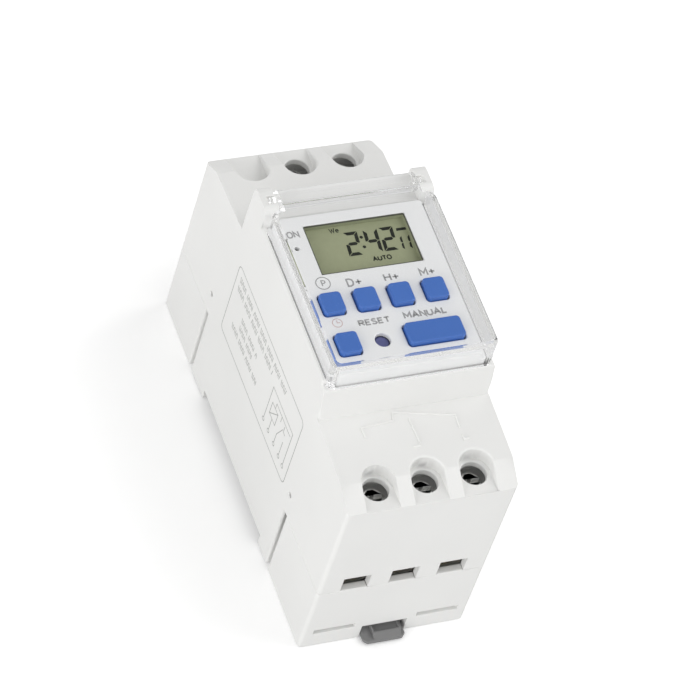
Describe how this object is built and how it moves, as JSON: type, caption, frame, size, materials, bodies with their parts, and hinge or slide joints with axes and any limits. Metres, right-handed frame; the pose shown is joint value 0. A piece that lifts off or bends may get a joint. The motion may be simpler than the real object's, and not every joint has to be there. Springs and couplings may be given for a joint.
{
  "type": "digital timer switch",
  "caption": "Rail-mounted digital timer switch with a clear hinged cover over a display and blue keys, clamp terminals at both ends and a sliding rail clip.",
  "frame": {"origin": "centre of the footprint of the bounding box, on the plane of the back", "axes": "+X to the right across the display, +Y along the case towards the supply terminals, +Z out of the display"},
  "size_m": [0.0356, 0.0888, 0.0645],
  "materials": {
    "case_plastic": "fine satin moulded warm white",
    "panel_plastic": "fine matt moulded light grey white",
    "clear_plastic": "clear polished moulding",
    "key_plastic": "satin moulded blue",
    "clip_plastic": "satin moulded dark grey",
    "display_glass": "olive grey liquid crystal cell",
    "board": "green lacquered laminate",
    "black_plastic": "black moulded epoxy or sleeve",
    "silicone": "soft grey silicone",
    "steel": "zinc plated",
    "brass": "plain stamped strip",
    "copper": "copper wire or copper strip",
    "lamp_plastic": "red moulded lens",
    "relay_plastic": "blue moulded case",
    "film_plastic": "yellow moulded box",
    "varistor_coat": "blue dipped coat",
    "resistor_coat": "green cement coat"
  },
  "bodies": {
    "case": {"back_housing": "case_plastic", "front_housing": "case_plastic", "front_panel": "panel_plastic", "display_glass": "display_glass", "display_frame": "panel_plastic", "contact_strip": "silicone", "display_board": "board", "timer_chip": "black_plastic", "clock_crystal": "steel", "backup_battery": "steel", "indicator_led": "lamp_plastic", "keypad_mat": "silicone", "ribbon_link": "silicone", "power_board": "board", "relay_base": "black_plastic", "relay_case": "relay_plastic", "relay_coil": "copper", "relay_yoke": "steel", "relay_make_contact": "brass", "relay_break_contact": "brass", "dropper_capacitor": "film_plastic", "storage_capacitor": "black_plastic", "varistor": "varistor_coat", "fuse_resistor": "resistor_coat", "bridge_rectifier": "black_plastic", "driver_transistor": "black_plastic", "load_common_bus_bar": "brass", "load_closing_bus_bar": "brass", "load_opening_bus_bar": "brass", "supply_line_bus_bar": "brass", "supply_neutral_bus_bar": "brass"},
    "cover": {"clear_cover": "clear_plastic"},
    "clip": {"rail_clip": "clip_plastic"},
    "reset": {"reset_button": "key_plastic"},
    "armature": {"relay_armature": "steel", "relay_contact_blade": "copper"},
    "program": {"program_key": "key_plastic"},
    "day": {"day_key": "key_plastic"},
    "hour": {"hour_key": "key_plastic"},
    "minute": {"minute_key": "key_plastic"},
    "clock": {"clock_key": "key_plastic"},
    "manual": {"manual_key": "key_plastic"},
    "load_common_screw_body": {"load_common_screw": "steel"},
    "load_common_cage_body": {"load_common_cage": "steel"},
    "load_closing_screw_body": {"load_closing_screw": "steel"},
    "load_closing_cage_body": {"load_closing_cage": "steel"},
    "load_opening_screw_body": {"load_opening_screw": "steel"},
    "load_opening_cage_body": {"load_opening_cage": "steel"},
    "supply_line_screw_body": {"supply_line_screw": "steel"},
    "supply_line_cage_body": {"supply_line_cage": "steel"},
    "supply_neutral_screw_body": {"supply_neutral_screw": "steel"},
    "supply_neutral_cage_body": {"supply_neutral_cage": "steel"}
  },
  "joints": [
    {"name": "cover_hinge", "type": "hinge", "parent": "case", "child": "cover", "pos_m": [0, 0.0204, 0.0624], "axis": [-1, 0, 0], "range_deg": [0, 130]},
    {"name": "clip_slide", "type": "slide", "parent": "case", "child": "clip", "axis": [0, -1, 0], "range_m": [0, 0.003]},
    {"name": "program_press", "type": "slide", "parent": "case", "child": "program", "axis": [0, 0, -1], "range_m": [0, 0.0008], "stiffness_N_per_m": 800},
    {"name": "day_press", "type": "slide", "parent": "case", "child": "day", "axis": [0, 0, -1], "range_m": [0, 0.0008], "stiffness_N_per_m": 800},
    {"name": "hour_press", "type": "slide", "parent": "case", "child": "hour", "axis": [0, 0, -1], "range_m": [0, 0.0008], "stiffness_N_per_m": 800},
    {"name": "minute_press", "type": "slide", "parent": "case", "child": "minute", "axis": [0, 0, -1], "range_m": [0, 0.0008], "stiffness_N_per_m": 800},
    {"name": "clock_press", "type": "slide", "parent": "case", "child": "clock", "axis": [0, 0, -1], "range_m": [0, 0.0008], "stiffness_N_per_m": 800},
    {"name": "manual_press", "type": "slide", "parent": "case", "child": "manual", "axis": [0, 0, -1], "range_m": [0, 0.0008], "stiffness_N_per_m": 800},
    {"name": "reset_press", "type": "slide", "parent": "case", "child": "reset", "axis": [0, 0, -1], "range_m": [0, 0.0004], "stiffness_N_per_m": 800},
    {"name": "armature_pull", "type": "hinge", "parent": "case", "child": "armature", "pos_m": [-0.00735, 0.0063, 0.0242], "axis": [-1, 0, 0], "range_deg": [0, 6], "stiffness_Nm_per_rad": 0.01},
    {"name": "load_common_screw_turn", "type": "hinge", "parent": "case", "child": "load_common_screw_body", "pos_m": [-0.01015, -0.03725, 0.04], "axis": [0, 0, -1], "range_deg": [0, 1800]},
    {"name": "load_common_cage_lift", "type": "slide", "parent": "case", "child": "load_common_cage_body", "axis": [0, 0, 1], "range_m": [0, 0.003]},
    {"name": "load_closing_screw_turn", "type": "hinge", "parent": "case", "child": "load_closing_screw_body", "pos_m": [0, -0.03725, 0.04], "axis": [0, 0, -1], "range_deg": [0, 1800]},
    {"name": "load_closing_cage_lift", "type": "slide", "parent": "case", "child": "load_closing_cage_body", "axis": [0, 0, 1], "range_m": [0, 0.003]},
    {"name": "load_opening_screw_turn", "type": "hinge", "parent": "case", "child": "load_opening_screw_body", "pos_m": [0.01015, -0.03725, 0.04], "axis": [0, 0, -1], "range_deg": [0, 1800]},
    {"name": "load_opening_cage_lift", "type": "slide", "parent": "case", "child": "load_opening_cage_body", "axis": [0, 0, 1], "range_m": [0, 0.003]},
    {"name": "supply_line_screw_turn", "type": "hinge", "parent": "case", "child": "supply_line_screw_body", "pos_m": [0, 0.03945, 0.04], "axis": [0, 0, -1], "range_deg": [0, 1800]},
    {"name": "supply_line_cage_lift", "type": "slide", "parent": "case", "child": "supply_line_cage_body", "axis": [0, 0, 1], "range_m": [0, 0.003]},
    {"name": "supply_neutral_screw_turn", "type": "hinge", "parent": "case", "child": "supply_neutral_screw_body", "pos_m": [0.01015, 0.03945, 0.04], "axis": [0, 0, -1], "range_deg": [0, 1800]},
    {"name": "supply_neutral_cage_lift", "type": "slide", "parent": "case", "child": "supply_neutral_cage_body", "axis": [0, 0, 1], "range_m": [0, 0.003]}
  ],
  "couplings": [
    {"joint": "load_common_screw_turn", "follows": "load_common_cage_lift", "rad_per_m": 10472},
    {"joint": "load_closing_screw_turn", "follows": "load_closing_cage_lift", "rad_per_m": 10472},
    {"joint": "load_opening_screw_turn", "follows": "load_opening_cage_lift", "rad_per_m": 10472},
    {"joint": "supply_line_screw_turn", "follows": "supply_line_cage_lift", "rad_per_m": 10472},
    {"joint": "supply_neutral_screw_turn", "follows": "supply_neutral_cage_lift", "rad_per_m": 10472}
  ]
}
